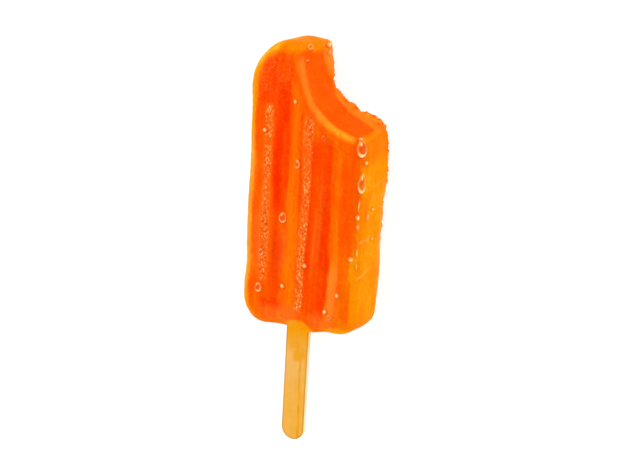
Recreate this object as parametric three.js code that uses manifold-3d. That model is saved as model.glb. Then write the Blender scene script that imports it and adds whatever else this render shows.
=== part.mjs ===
// Ice lolly: a slab of frozen orange juice with two flutes in each face, on a flat birch stick.
// Its right shoulder is bitten off, and drops of melt water hang on its front and right side.
// It lies on its back, with the bitten tip towards +Y and the stick towards -Y.
// Millimetres, +Z up. The origin is the middle of its length and width, on what it lies on.

import * as THREE from 'three';
import { mergeVertices } from 'three/addons/utils/BufferGeometryUtils.js';
import Module from 'manifold-3d';

const { clamp, degToRad, lerp, radToDeg, smoothstep } = THREE.MathUtils;

// The ice has its own frame: x = 0 and z = 0 in its middle, y = 0 at the base by the stick.
const ice = {
  width: 47.5,
  length: 106,
  thickness: 26,
  edge: 6.3, // radius between a face and the sides
  tipCorner: 15.3, // radii of the corners seen from the front
  baseCorner: 9.6,
  across: 30, // how many facets each way
  along: 40,
  through: 10,
};
const half = { x: ice.width / 2, z: ice.thickness / 2 };

// Each face has this pair of flutes, which the mould leaves between three broad ribs. Their
// walls meet in a crease.
const flutes = { centres: [-6.33, 12.67], halfWidth: 5.6, depth: 2.4, from: 6, to: 98, fade: 11 };
const flutePower = 1.35; // above 1 the walls hollow a little

// Melting: the right side swells and sinks along its length and draws in under the bite, and the
// base turns wavy, less so on the left, which has sunk instead.
const sag = { height: 0.65, length: 47, crest: 69 };
const lip = { depth: 1.8, from: 69, to: 77 };
const brim = { height: 0.8, leftHeight: 0.35, length: 20, crest: -6.5, trough: 3.5, fade: 12 };
const ripple = { height: 0.22, across: 19, along: 31 };
const flatDepth = 0.3; // how far the back has settled onto what the lolly lies on

// The bite, a round mouthful through the whole thickness. Its rim has melted round and smooth.
// Towards the back it is narrower, and cuts deeper at one angle, as teeth do. Where it leaves the
// ice, at the tip and at the right side, it turns outward.
const bite = { x: 25.5, y: 104, radius: 28.6, rim: 2.4, smoothBand: 7, facets: 96 };
const teeth = { narrower: 0.6, depth: 1.8, at: 211, waves: 3.7 }; // angles from +X, in degrees
const turns = { tip: [182, 170], side: [256, 269], depth: 3 };
const crumble = { depth: 0.3, waves: [23, 37] }; // how rough its back is, in waves round the drum

// The stick is pushed in a little to the left of the middle.
const stick = { length: 114, width: 9.5, thickness: 2, out: 47.4, x: -4.1, bevel: 0.3 };
const slotGap = 0.3; // between the stick and the ice round it

// The larger drops. The way across is measured round the corner onto the side of the ice.
const drops = [
  { across: 24.4, along: 72.2, long: 7.2, wide: 3.9, high: 1.2 },
  { across: 24.8, along: 59.5, long: 7.8, wide: 3.5, high: 1.1 },
  { across: 24.7, along: 46.6, long: 2.6, wide: 2.0, high: 0.9 },
  { across: 26.6, along: 66.4, long: 2.0, wide: 1.9, high: 0.8 },
  { across: -0.9, along: 63.2, long: 3.9, wide: 2.9, high: 0.9 },
  { across: -7.0, along: 41.9, long: 4.0, wide: 2.9, high: 0.9 },
  { across: -14.6, along: 14.6, long: 3.8, wide: 2.9, high: 0.9 },
  { across: -14.4, along: 27.6, long: 2.9, wide: 2.7, high: 0.8 },
];

// 1 at the crease of each flute, 0 on the ribs.
function fluteAcross(x) {
  return flutes.centres.reduce((sum, centre) => {
    const away = clamp(Math.abs(x - centre) / flutes.halfWidth, 0, 1);
    return sum + (1 - away) ** flutePower;
  }, 0);
}

// The flutes run out smoothly before the base, before the tip and in the melted band of the bite.
function fluteAlong(x, y) {
  const fromBase = smoothstep(y, flutes.from, flutes.from + flutes.fade);
  const fromTip = 1 - smoothstep(y, flutes.to - flutes.fade, flutes.to);
  const biteEdge = bite.radius + bite.rim;
  const fromBite = smoothstep(Math.hypot(x - bite.x, y - bite.y), biteEdge, biteEdge + bite.smoothBand);
  return fromBase * fromTip * fromBite;
}

// Moves a point of a plain box of the full size onto the slab: corners first, then the edges.
function roundOff(p) {
  const corner = p.y > ice.length / 2 ? ice.tipCorner : ice.baseCorner;
  const coreX = clamp(p.x, corner - half.x, half.x - corner);
  const coreY = clamp(p.y, corner, ice.length - corner);
  const coreZ = clamp(p.z, ice.edge - half.z, half.z - ice.edge);
  const arm = new THREE.Vector2(p.x - coreX, p.y - coreY);
  const reach = Math.max(Math.abs(arm.x), Math.abs(arm.y));
  const outward = Math.max(reach - (corner - ice.edge), 0);
  const upward = p.z - coreZ;
  const pull = ice.edge / Math.max(Math.hypot(outward, upward), ice.edge);
  arm.setLength(reach - outward + outward * pull);
  if (reach === 0) arm.set(0, 0);
  p.set(coreX + arm.x, coreY + arm.y, coreZ + upward * pull);
}

// Presses the flutes into both faces and lets the slab melt a little out of true.
function fluteAndMelt(p) {
  const side = Math.sign(p.z);
  const depth = flutes.depth * fluteAcross(p.x) * fluteAlong(p.x, p.y);
  const wave = Math.sin((2 * Math.PI * p.x) / ripple.across + (2 * Math.PI * p.y) / ripple.along);
  const faceUp = clamp(p.z / half.z, 0, 1);
  p.z += faceUp * ripple.height * wave - side * depth;
  const swell = sag.height * Math.cos((2 * Math.PI * (p.y - sag.crest)) / sag.length);
  const drawnIn = lip.depth * smoothstep(p.y, lip.from, lip.to);
  const fromBase = smoothstep(p.y, 0, sag.crest);
  p.x += ((swell * fromBase - drawnIn) * clamp(p.x, 0, half.x)) / half.x;
  const nearBase = 1 - smoothstep(p.y, 0, brim.fade);
  const onRight = smoothstep(p.x, brim.crest, brim.trough);
  const height = lerp(brim.leftHeight, brim.height, onRight);
  const sunk = brim.leftHeight * (1 - onRight);
  const baseWave = height * Math.cos((2 * Math.PI * (p.x - brim.crest)) / brim.length);
  p.y += nearBase * (baseWave - sunk);
}

function shapeIce(p) {
  roundOff(p);
  fluteAndMelt(p);
  return p;
}

// Applies a function to every vertex of a geometry.
function reshape(geometry, move) {
  const places = geometry.attributes.position;
  const point = new THREE.Vector3();
  for (let i = 0; i < places.count; i++) {
    move(point.fromBufferAttribute(places, i));
    places.setXYZ(i, point.x, point.y, point.z);
  }
  return geometry;
}

function iceSlab() {
  const { width, length, thickness, across, along, through } = ice;
  const block = new THREE.BoxGeometry(width, length, thickness, across, along, through);
  return reshape(block.translate(0, length / 2, 0), shapeIce);
}

// The mouthful: a drum that flares at both faces of the ice, which leaves a rounded rim there.
// Towards the back it is rough, where the ice crumbled under the teeth.
function mouthful() {
  const beyond = 4;
  const rimSteps = 4;
  const outer = bite.radius + bite.rim;
  const upper = [new THREE.Vector2(0, half.z + beyond), new THREE.Vector2(outer, half.z + beyond)];
  for (let i = 0; i <= rimSteps; i++) {
    const turn = ((i / rimSteps) * Math.PI) / 2;
    const inward = bite.rim * Math.sin(turn);
    const down = bite.rim * (1 - Math.cos(turn));
    upper.push(new THREE.Vector2(outer - inward, half.z - down));
  }
  const lower = upper.map((p) => new THREE.Vector2(p.x, -p.y));
  const profile = [...lower, ...upper.reverse()];
  const drum = new THREE.LatheGeometry(profile, bite.facets).rotateX(Math.PI / 2);
  reshape(drum, (p) => {
    const angle = Math.atan2(-p.y, -p.x) + Math.PI;
    const degrees = radToDeg(angle);
    const atBack = 1 - smoothstep(p.z, -half.z, 0);
    const rough = crumble.waves.reduce((sum, waves) => sum + Math.sin(waves * (angle + 1)), 0);
    const bitten = teeth.depth * Math.cos(teeth.waves * degToRad(degrees - teeth.at)) - teeth.narrower;
    const pastTip = clamp((degrees - turns.tip[0]) / (turns.tip[1] - turns.tip[0]), 0, 1);
    const pastSide = clamp((degrees - turns.side[0]) / (turns.side[1] - turns.side[0]), 0, 1);
    const outward = turns.depth * (pastTip ** 2 + pastSide ** 2);
    const grow = 1 + (atBack * (crumble.depth * rough + bitten) + outward) / bite.radius;
    p.x *= grow;
    p.y *= grow;
  });
  return drum.translate(bite.x, bite.y, 0);
}

// The stick's shape, a bar with round ends. To cut its slot it is grown all round.
function stickBar(grow) {
  const radius = stick.width / 2 + grow;
  const reach = (stick.length - stick.width) / 2;
  const outline = new THREE.Shape();
  outline.absarc(0, reach, radius, 0, Math.PI, false);
  outline.absarc(0, -reach, radius, Math.PI, 2 * Math.PI, false);
  const bar = new THREE.ExtrudeGeometry(outline, {
    depth: stick.thickness + 2 * (grow - stick.bevel),
    curveSegments: 20,
    bevelThickness: stick.bevel,
    bevelSize: stick.bevel,
    bevelOffset: -stick.bevel,
    bevelSegments: 2,
  });
  bar.translate(0, 0, stick.bevel - stick.thickness / 2 - grow);
  return bar.translate(stick.x, stick.length / 2 - stick.out, 0);
}

// The point on the front face or the right side that lies so far across and along the ice.
function onSurface(across, along) {
  const round = Math.max(across - half.x, 0);
  return shapeIce(new THREE.Vector3(Math.min(across, half.x), along, half.z - round));
}

// A drop: a low dome that stands square on the surface, a little narrower at its upper end.
function waterDrop({ across, along, long, wide, high }) {
  const step = 0.5;
  const place = onSurface(across, along);
  const toSide = onSurface(across + step, along).sub(place);
  const toTip = onSurface(across, along + step).sub(place);
  const outward = toSide.clone().cross(toTip).normalize();
  const right = toTip.clone().cross(outward).normalize();
  const tipward = outward.clone().cross(right);
  const taper = 0.35;
  const dome = reshape(new THREE.SphereGeometry(1, 12, 8), (p) => {
    p.x *= 1 - taper * Math.max(p.y, 0);
  });
  dome.scale(wide / 2, long / 2, high);
  dome.applyMatrix4(new THREE.Matrix4().makeBasis(right, tipward, outward));
  return dome.translate(place.x, place.y, place.z);
}

// What is cut off the back, down to the flat that the lolly lies on.
function backTrim() {
  const deep = 10;
  const plate = new THREE.BoxGeometry(2 * ice.width, 2 * ice.length, deep);
  return plate.translate(0, ice.length / 2, flatDepth - half.z - deep / 2);
}

const wasm = await Module();
wasm.setup();

function toSolid(geometry) {
  const bare = geometry.clone();
  bare.deleteAttribute('normal');
  bare.deleteAttribute('uv');
  const merged = mergeVertices(bare, 1e-4);
  const vertProperties = merged.attributes.position.array;
  const triVerts = new Uint32Array(merged.index.array);
  return new wasm.Manifold(new wasm.Mesh({ numProp: 3, vertProperties, triVerts }));
}

function toGeometry(solid) {
  const { vertProperties, triVerts } = solid.getMesh();
  const geometry = new THREE.BufferGeometry();
  geometry.setAttribute('position', new THREE.BufferAttribute(vertProperties, 3));
  geometry.setIndex(new THREE.BufferAttribute(triVerts, 1));
  geometry.computeVertexNormals();
  return geometry;
}

function iceBody() {
  const cutters = [mouthful(), stickBar(slotGap), backTrim()];
  const cut = cutters.reduce((solid, cutter) => solid.subtract(toSolid(cutter)), toSolid(iceSlab()));
  const wet = drops.reduce((solid, drop) => solid.add(toSolid(waterDrop(drop))), cut);
  const frozenJuice = new THREE.MeshStandardMaterial({ color: 0xff6410, roughness: 0.25 });
  const mesh = new THREE.Mesh(toGeometry(wet), frozenJuice);
  mesh.name = 'ice_body';
  return mesh;
}

function birchStick() {
  const birch = new THREE.MeshStandardMaterial({ color: 0xf0b45a, roughness: 0.6 });
  const mesh = new THREE.Mesh(stickBar(0), birch);
  mesh.name = 'stick';
  return mesh;
}

const lolly = new THREE.Group();
lolly.add(iceBody(), birchStick());

// Stands the whole on the origin.
const box = new THREE.Box3().setFromObject(lolly);
const middle = box.getCenter(new THREE.Vector3());
lolly.position.set(-middle.x, -middle.y, -box.min.z);

export default lolly;
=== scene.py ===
import bpy
import bmesh
import numpy as np
import random
from math import atan, cos, pi, radians, sin
from mathutils import Matrix, Vector, noise
from types import SimpleNamespace


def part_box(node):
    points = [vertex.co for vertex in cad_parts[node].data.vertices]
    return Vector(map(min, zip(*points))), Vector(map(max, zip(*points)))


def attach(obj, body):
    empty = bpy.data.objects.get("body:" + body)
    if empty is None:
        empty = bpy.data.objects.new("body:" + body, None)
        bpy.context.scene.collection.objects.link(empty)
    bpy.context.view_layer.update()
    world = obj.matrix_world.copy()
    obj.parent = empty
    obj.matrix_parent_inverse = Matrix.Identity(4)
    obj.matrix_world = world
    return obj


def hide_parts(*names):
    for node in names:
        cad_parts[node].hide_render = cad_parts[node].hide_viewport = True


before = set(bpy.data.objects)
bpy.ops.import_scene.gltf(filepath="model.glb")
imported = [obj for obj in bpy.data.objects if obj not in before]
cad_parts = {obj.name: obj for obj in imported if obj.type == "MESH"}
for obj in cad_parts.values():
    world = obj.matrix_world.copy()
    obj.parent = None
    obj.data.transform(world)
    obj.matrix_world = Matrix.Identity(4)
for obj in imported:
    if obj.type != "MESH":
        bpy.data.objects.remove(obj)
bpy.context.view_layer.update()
mm = 0.001

# the stick places everything: x across, y from the base to the tip, z out of the front face
stickSize = {"x": -4.1, "out": 47.4, "width": 9.5}
stickLow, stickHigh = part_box("stick")
iceOrigin = Vector((
    (stickLow.x + stickHigh.x) / 2 - stickSize["x"] * mm,
    stickLow.y + stickSize["out"] * mm,
    (stickLow.z + stickHigh.z) / 2,
))


def at(x, y, z):
    return iceOrigin + Vector((x, y, z)) * mm


def linear(hexColour):
    # sRGB hex to the linear values that the nodes take
    parts = [int(hexColour[i:i + 2], 16) / 255 for i in (1, 3, 5)]
    return [part / 12.92 if part <= 0.04045 else ((part + 0.055) / 1.055) ** 2.4 for part in parts] + [1]


def addNode(tree, kind, settings=None, links=None):
    # a setting is the node's own property, or the value of one of its sockets
    node = tree.nodes.new(kind)
    for name, value in (settings or {}).items():
        if isinstance(name, str) and hasattr(node, name):
            setattr(node, name, value)
        else:
            node.inputs[name].default_value = value
    for name, socket in (links or {}).items():
        tree.links.new(socket, node.inputs[name])
    return node


def newMaterial(name):
    material = bpy.data.materials.new(name)
    material.use_nodes = True
    material.node_tree.nodes.clear()
    return material, material.node_tree


def setRamp(node, stops):
    elements = node.color_ramp.elements
    while len(elements) > 1:
        elements.remove(elements[-1])
    elements[0].position, elements[0].color = stops[0][0], linear(stops[0][1])
    for place, colour in stops[1:]:
        elements.new(place).color = linear(colour)


def applyModifier(piece, kind, **settings):
    bpy.ops.object.select_all(action="DESELECT")
    piece.select_set(True)
    bpy.context.view_layer.objects.active = piece
    bpy.ops.object.modifier_add(type=kind)
    modifier = piece.modifiers[-1]
    for name, value in settings.items():
        setattr(modifier, name, value)
    bpy.ops.object.modifier_apply(modifier=modifier.name)


def startPiece(name):
    piece = bpy.context.active_object
    piece.name = name
    piece.data.name = name
    bpy.ops.object.mode_set(mode="EDIT")
    return piece


def endPiece():
    bpy.ops.object.mode_set(mode="OBJECT")
    bpy.ops.object.transform_apply(location=True, rotation=True, scale=True)


def pick(piece, kind, test):
    # selects the verts, edges or faces whose corners all pass the test
    bpy.ops.mesh.select_mode(type={"verts": "VERT", "edges": "EDGE", "faces": "FACE"}[kind])
    bpy.ops.mesh.select_all(action="DESELECT")
    mesh = bmesh.from_edit_mesh(piece.data)
    for part in getattr(mesh, kind):
        corners = [part] if kind == "verts" else part.verts
        places = [(piece.matrix_world @ corner.co - iceOrigin) / mm for corner in corners]
        part.select_set(test(places))
    bmesh.update_edit_mesh(piece.data)


def blend(value, low, high):
    # a smooth step from 0 at low to 1 at high
    share = np.clip((value - low) / (high - low), 0, 1)
    return share * share * (3 - 2 * share)


def rise(value, span):
    return blend(value, *span)


def fall(value, span):
    return 1 - blend(value, *span)


def towards(value, target, share):
    return value + (target - value) * share


# the ice
iceBlock = {
    "width": 47.5, "length": 106, "thickness": 26,
    "faceEdge": 6.3, "edgeSteps": 10, "tipCorner": 15.3, "baseCorner": 9.6, "cornerSteps": 14,
    "settled": 0.3, "voxel": 0.46,
}
flute = {
    "centres": (-6.33, 12.67), "halfWidth": 5.6, "power": 1.35, "depth": 2.4,
    "start": 6, "end": 98, "fade": 11,
}
# melted: a swell along the right side, a lip drawn in by the bite, a wavy brim at the base, a rippled front
melt = {
    "swell": 0.65, "swellLength": 47, "swellCrest": 69,
    "lip": 1.8, "lipFrom": 69, "lipTo": 77,
    "brim": 0.8, "brimLeft": 0.35, "brimLength": 20, "brimCrest": -6.5, "brimTrough": 3.5,
    "brimFade": 12, "ripple": 0.22, "rippleAcross": 19, "rippleAlong": 31,
}
# a round bite; its angles are in degrees round its centre, and each chip has an angle, a width and a depth
bite = {
    "x": 25.5, "y": 104, "radius": 28.6, "rim": 2.4, "smoothBand": 7,
    "facets": 240, "steps": 5, "past": 5,  # of the drum that cuts it, which stands past both faces
    "narrower": 0.6, "teethDepth": 1.8, "teethAt": 211, "teethWaves": 3.7,
    "chips": [(197, 6, -1.1), (204.5, 3, -0.6), (208, 5, 0.4), (222.5, 3.5, -0.6), (233, 4, -1.9),
              (236.5, 2.5, 0.6), (250, 9, -0.35), (261.5, 2.5, 0.3)],
    "tipTurn": (182, 170), "sideTurn": (256, 269), "turnDepth": 3,
}
# places where its outline has melted a little more or less
dents = [
    {"at": (-20, 97.5), "reach": (5, 5), "move": (0.35, -0.25)},
    {"at": (-17, 101.5), "reach": (5, 4), "move": (0.4, -0.4)},
    {"at": (-23.5, 90), "reach": (4, 8), "move": (-0.35, 0)},
    {"at": (-23.7, 62), "reach": (4, 18), "move": (0.35, 0)},
    {"at": (-23.7, 21), "reach": (4, 6), "move": (0.45, 0)},
    {"at": (-3, 105), "reach": (4, 3), "move": (-0.5, -0.6)},
    {"at": (23, 69), "reach": (3, 2.5), "move": (-0.6, 0)},
    {"at": (23.5, 54), "reach": (3, 3), "move": (0.6, 0)},
    {"at": (23.5, 29), "reach": (4, 9), "move": (-0.4, 0)},
    {"at": (22.5, 10), "reach": (4, 6), "move": (-0.6, 0)},
    {"at": (21.5, 5), "reach": (3, 2.5), "move": (0.2, -0.2)},
    {"at": (21, 1), "reach": (4, 3), "move": (0, 0.15)},
]
halfWidth, halfThick = iceBlock["width"] / 2, iceBlock["thickness"] / 2
slack = 0.1  # how near a corner has to be to count as there


def makeBlock():
    size = Vector((iceBlock["width"], iceBlock["length"], iceBlock["thickness"])) * mm
    bpy.ops.mesh.primitive_cube_add(size=1, location=at(0, iceBlock["length"] / 2, 0))
    block = startPiece("ice")
    bpy.ops.transform.resize(value=size)
    for corner, atTip in ((iceBlock["tipCorner"], True), (iceBlock["baseCorner"], False)):
        def upright(places):
            runsThrough = abs(places[0].z - places[1].z) > slack
            return runsThrough and (places[0].y > iceBlock["length"] / 2) == atTip
        pick(block, "edges", upright)
        bpy.ops.mesh.bevel(offset=corner * mm, segments=iceBlock["cornerSteps"], affect="EDGES")
    pick(block, "edges", lambda places: abs(places[0].z + places[1].z) > 2 * halfThick - slack)
    bpy.ops.mesh.bevel(offset=iceBlock["faceEdge"] * mm, segments=iceBlock["edgeSteps"], affect="EDGES")
    endPiece()
    return block


def makeMouthful():
    # a drum with flared ends, whose flare leaves the bite its round melted rim
    radius, rim = bite["radius"], bite["rim"]
    centre = at(bite["x"], bite["y"], 0)
    bpy.ops.mesh.primitive_cylinder_add(
        vertices=bite["facets"], radius=radius * mm, depth=2 * (halfThick - rim) * mm, location=centre)
    drum = startPiece("mouthful")
    for end in (1, -1):
        pick(drum, "faces", lambda places: all(place.z * end > halfThick - rim - slack for place in places))
        height, reach = halfThick - rim, radius
        for step in range(1, bite["steps"] + 1):
            turn = step / bite["steps"] * pi / 2
            nextHeight, nextReach = halfThick - rim + rim * sin(turn), radius + rim * (1 - cos(turn))
            lift = (0, 0, end * (nextHeight - height) * mm)
            bpy.ops.mesh.extrude_region_move(TRANSFORM_OT_translate={"value": lift})
            grow = nextReach / reach
            bpy.ops.transform.resize(value=(grow, grow, 1), center_override=centre)
            height, reach = nextHeight, nextReach
        pastFace = (0, 0, end * bite["past"] * mm)
        bpy.ops.mesh.extrude_region_move(TRANSFORM_OT_translate={"value": pastFace})
    endPiece()
    setPlaces(drum, bittenShape(icePlaces(drum)))
    return drum


def pastBite(x, y):
    return np.hypot(x - bite["x"], y - bite["y"]) - bite["radius"]


def biteReach(x, y, atBack):
    # narrower and toothed at the back, and turned outward where the bite leaves the ice
    degrees = np.degrees(np.arctan2(bite["y"] - y, bite["x"] - x)) + 180
    teeth = np.cos(np.radians(bite["teethWaves"] * (degrees - bite["teethAt"])))
    chips = sum(deep * np.exp(-((degrees - middle) / wide) ** 2) for middle, wide, deep in bite["chips"])
    outward = 0
    for turnFrom, turnTo in (bite["tipTurn"], bite["sideTurn"]):
        outward = outward + np.clip((degrees - turnFrom) / (turnTo - turnFrom), 0, 1) ** 2
    back = bite["teethDepth"] * teeth + chips - bite["narrower"]
    return atBack * back + bite["turnDepth"] * outward


def bittenShape(places):
    x, y, z = places.T
    grow = 1 + biteReach(x, y, 1 - blend(z, -halfThick, 0)) / bite["radius"]
    return np.stack([bite["x"] + (x - bite["x"]) * grow, bite["y"] + (y - bite["y"]) * grow, z], axis=1)


def biteBlock(block, drum):
    applyModifier(block, "BOOLEAN", operation="DIFFERENCE", solver="EXACT", object=drum)
    bpy.data.objects.remove(drum)
    applyModifier(block, "REMESH", mode="VOXEL", voxel_size=iceBlock["voxel"] * mm)
    applyModifier(block, "SMOOTH", factor=0.5, iterations=6)


def icePlaces(piece):
    flat = np.empty(len(piece.data.vertices) * 3)
    piece.data.vertices.foreach_get("co", flat)
    return (flat.reshape(-1, 3) - np.array(iceOrigin)) / mm


def setPlaces(piece, places):
    piece.data.vertices.foreach_set("co", (places * mm + np.array(iceOrigin)).ravel())
    piece.data.update()


def facings(piece):
    # which way the surface faces at each corner of the mesh
    flat = np.empty(len(piece.data.vertices) * 3)
    piece.data.vertices.foreach_get("normal", flat)
    return flat.reshape(-1, 3)


def settle(places):
    # its back has melted flat where it lies
    places[:, 2] = np.maximum(places[:, 2], iceBlock["settled"] - halfThick)
    return places


def fluteReach(x, y):
    # 1 where a flute has its full depth, 0 where it has run out
    fromBase = blend(y, flute["start"], flute["start"] + flute["fade"])
    fromTip = 1 - blend(y, flute["end"] - flute["fade"], flute["end"])
    fromBite = blend(pastBite(x, y), bite["rim"], bite["rim"] + bite["smoothBand"])
    return fromBase * fromTip * fromBite


def fluteDepth(x, y):
    across = 0
    for centre in flute["centres"]:
        away = np.clip(np.abs(x - centre) / flute["halfWidth"], 0, 1)
        across = across + (1 - away) ** flute["power"]
    return flute["depth"] * across * fluteReach(x, y)


def sideMelt(y):
    # the right side swells and thins along the ice, and is drawn in beside the bite
    swell = melt["swell"] * np.cos(2 * pi * (y - melt["swellCrest"]) / melt["swellLength"])
    swell *= blend(y, 0, melt["swellCrest"])
    return swell - melt["lip"] * blend(y, melt["lipFrom"], melt["lipTo"])


def baseMelt(x, y):
    # the base has melted into waves, higher ones on the right
    onRight = blend(x, melt["brimCrest"], melt["brimTrough"])
    height = towards(melt["brimLeft"], melt["brim"], onRight)
    wave = height * np.cos(2 * pi * (x - melt["brimCrest"]) / melt["brimLength"])
    return (1 - blend(y, 0, melt["brimFade"])) * (wave - melt["brimLeft"] * (1 - onRight))


def meltShape(places):
    x, y, z = places.T
    faceUp = np.clip(z / halfThick, 0, 1)
    wave = np.sin(2 * pi * (x / melt["rippleAcross"] + y / melt["rippleAlong"]))
    newZ = z + faceUp * melt["ripple"] * wave - np.sign(z) * fluteDepth(x, y)
    newX = x + sideMelt(y) * np.clip(x, 0, halfWidth) / halfWidth
    newY = y + baseMelt(newX, y)
    for spot in dents:
        offX, offY = (x - spot["at"][0]) / spot["reach"][0], (y - spot["at"][1]) / spot["reach"][1]
        near = np.exp(-offX ** 2 - offY ** 2)
        newX, newY = newX + spot["move"][0] * near, newY + spot["move"][1] * near
    return settle(np.stack([newX, newY, newZ], axis=1))


def weigh(piece, name, weights):
    # a vertex group for a modifier, in steps of a tenth
    group = piece.vertex_groups.new(name=name)
    steps = np.round(weights * 10).astype(int)
    for step in range(1, 11):
        group.add(np.nonzero(steps == step)[0].tolist(), step / 10, "REPLACE")


# rough skin, each layer by its grain and strength; where the ice has crumbled it is rougher still
roughness = [
    {"grain": 7, "strength": 0.5},
    {"grain": 2.8, "strength": 1.8, "group": "crumble"},
    {"grain": 1.1, "strength": 1.7, "group": "crumble"},
    {"grain": 1.2, "strength": 0.12},
]
# crumbled: the back of the bite, less so near the tip, and the right side's back edge
crumble = {
    "biteReach": (2, 5), "biteZ": (1.5 - halfThick, 8 - halfThick), "byTipLess": 0.7, "byTipY": (90, 97),
    "sideX": (18.5, 22), "sideY": (20, 50), "sideZ": (2 - halfThick, 9 - halfThick),
}


def crumbleWeights(places):
    x, y, z = places.T
    biteBack = fall(pastBite(x, y), crumble["biteReach"]) * fall(z, crumble["biteZ"])
    biteBack *= 1 - crumble["byTipLess"] * rise(y, crumble["byTipY"])
    sideBack = rise(x, crumble["sideX"]) * fall(z, crumble["sideZ"]) * rise(y, crumble["sideY"])
    return np.maximum(biteBack, sideBack)


def roughen(piece, grain, strength, group=""):
    texture = bpy.data.textures.new("rough", type="CLOUDS")
    texture.noise_scale = grain * mm
    applyModifier(
        piece, "DISPLACE", texture=texture, strength=strength * mm, mid_level=0.5, vertex_group=group)


def makeIce():
    ice = makeBlock()
    biteBlock(ice, makeMouthful())
    setPlaces(ice, meltShape(icePlaces(ice)))
    applyModifier(ice, "SMOOTH", factor=0.5, iterations=2)
    weigh(ice, "crumble", crumbleWeights(icePlaces(ice)))
    for layer in roughness:
        roughen(ice, **layer)
    setPlaces(ice, settle(icePlaces(ice)))
    bpy.ops.object.shade_smooth()
    return ice


ice = makeIce()
print("ice", len(ice.data.vertices), "vertices")

# its colours go by a glow, painted light and shade over the ice's own colour: from 0 for deep red ice,
# thick or shaded, to 1 for thin lit ice, a yellow-orange; the glow wanders: how much, at what size in mm,
# how far drawn out along the ice, and with what seed
wanders = {
    "sway": {"much": 0.8, "grain": 9, "stretch": 3, "seed": 11},
    "waver": {"much": 0.35, "grain": 1.6, "stretch": 2, "seed": 29},
    "ragged": {"much": 1.6, "grain": 1.2, "stretch": 1, "seed": 17},
    "clouds": {"much": 1, "grain": 6, "stretch": 1.5, "seed": 3},
    "streaks": {"much": 1, "grain": 1.5, "stretch": 12, "seed": 7},
    "patches": {"much": 0.5, "grain": 3.5, "stretch": 2.5, "seed": 41},
    "biteBack": {"much": 0.8, "grain": 3, "stretch": 1, "seed": 5},
    "haze": {"much": 1, "grain": 5, "stretch": 1.7, "seed": 53},
}


def giveAttribute(piece, name, values):
    layer = piece.data.attributes.new(name, "FLOAT", "POINT")
    layer.data.foreach_set("value", np.clip(values, 0, 1))


def wander(places, name):
    kind = wanders[name]
    grains = kind["grain"] * np.array((1, kind["stretch"], 1))
    spots = places / grains + kind["seed"]
    return kind["much"] * np.array([noise.noise(Vector(spot)) for spot in spots])


def inBand(x, y, band):
    # a stripe along the ice with a soft left and right edge, which fades at both ends
    soft, fade = band["soft"], band["fade"]
    left = blend(x, band["left"] - soft[0] / 2, band["left"] + soft[0] / 2)
    right = 1 - blend(x, band["right"] - soft[1] / 2, band["right"] + soft[1] / 2)
    low = blend(y, band["low"] - fade / 2, band["low"] + fade / 2)
    high = 1 - blend(y, band["high"] - fade / 2, band["high"] + fade / 2)
    return left * right * low * high


def mostOf(bandList, x, y):
    return np.max([band["much"] * inBand(x, y, band) for band in bandList], axis=0)


# regions that the paint goes by; its bands lean a little, and in the right flute the other way
regions = {
    "lean": 0.018, "leanX": (-6, -3), "leanBack": 0.034, "leanBackX": (9.5, 11.5),
    "faceZ": (halfThick - 7, halfThick - 4.5), "biteWall": (0.7, 1.6), "biteTurn": (0.25, 0.6),
    "leftX": (-18, -13), "leftTurn": (0.2, 0.5), "leftUpright": (0.62, 0.84),
    "tipEdgeY": (101.2, 104.4), "tipEdgeSlope": 0.12, "tipEdgeClouds": 0.8,
}


def measureIce(piece):
    # each value holds one number for every corner of the mesh
    places = icePlaces(piece)
    x, y, z = places.T
    nx, ny, nz = facings(piece).T
    here = SimpleNamespace(places=places, x=x, y=y, z=z, nx=nx, ny=ny)
    here.clouds = wander(places, "clouds")
    here.streaks = wander(places, "streaks")
    lean = regions["lean"] * rise(x, regions["leanX"])
    lean -= regions["leanBack"] * rise(x, regions["leanBackX"])
    here.swayed = x - lean * y + wander(places, "sway") + wander(places, "waver")
    here.ragged = y + wander(places, "ragged")
    here.onFace = rise(np.abs(z), regions["faceZ"])
    here.onFront = rise(z, regions["faceZ"])
    here.fromBite = pastBite(x, y)
    wallEnd = halfThick - bite["rim"]
    fromWall = here.fromBite - biteReach(x, y, np.clip((wallEnd - z) / (2 * wallEnd), 0, 1))
    here.onBite = fall(fromWall, regions["biteWall"]) * fall(np.abs(nz), regions["biteTurn"])
    here.atLeft = fall(x, regions["leftX"])
    upright = rise(np.hypot(nx, ny), regions["leftUpright"])
    here.onLeft = upright * rise(-nx, regions["leftTurn"]) * here.atLeft
    slope = regions["tipEdgeSlope"] * (halfThick - z)
    here.tipEdge = rise(y + slope + regions["tipEdgeClouds"] * here.clouds, regions["tipEdgeY"])
    return here


# the front and back faces, where bands of painted light and shade run along ribs and flutes
faces = {
    "tone": 0.44, "lowRight": 0.5, "lowRightX": (4, 10), "lowRightY": (6, 11),
    "clearOfBite": (3.5, 6.5), "clearByTip": (1.5, 3.5), "byTipY": (80, 86),
}
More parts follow.
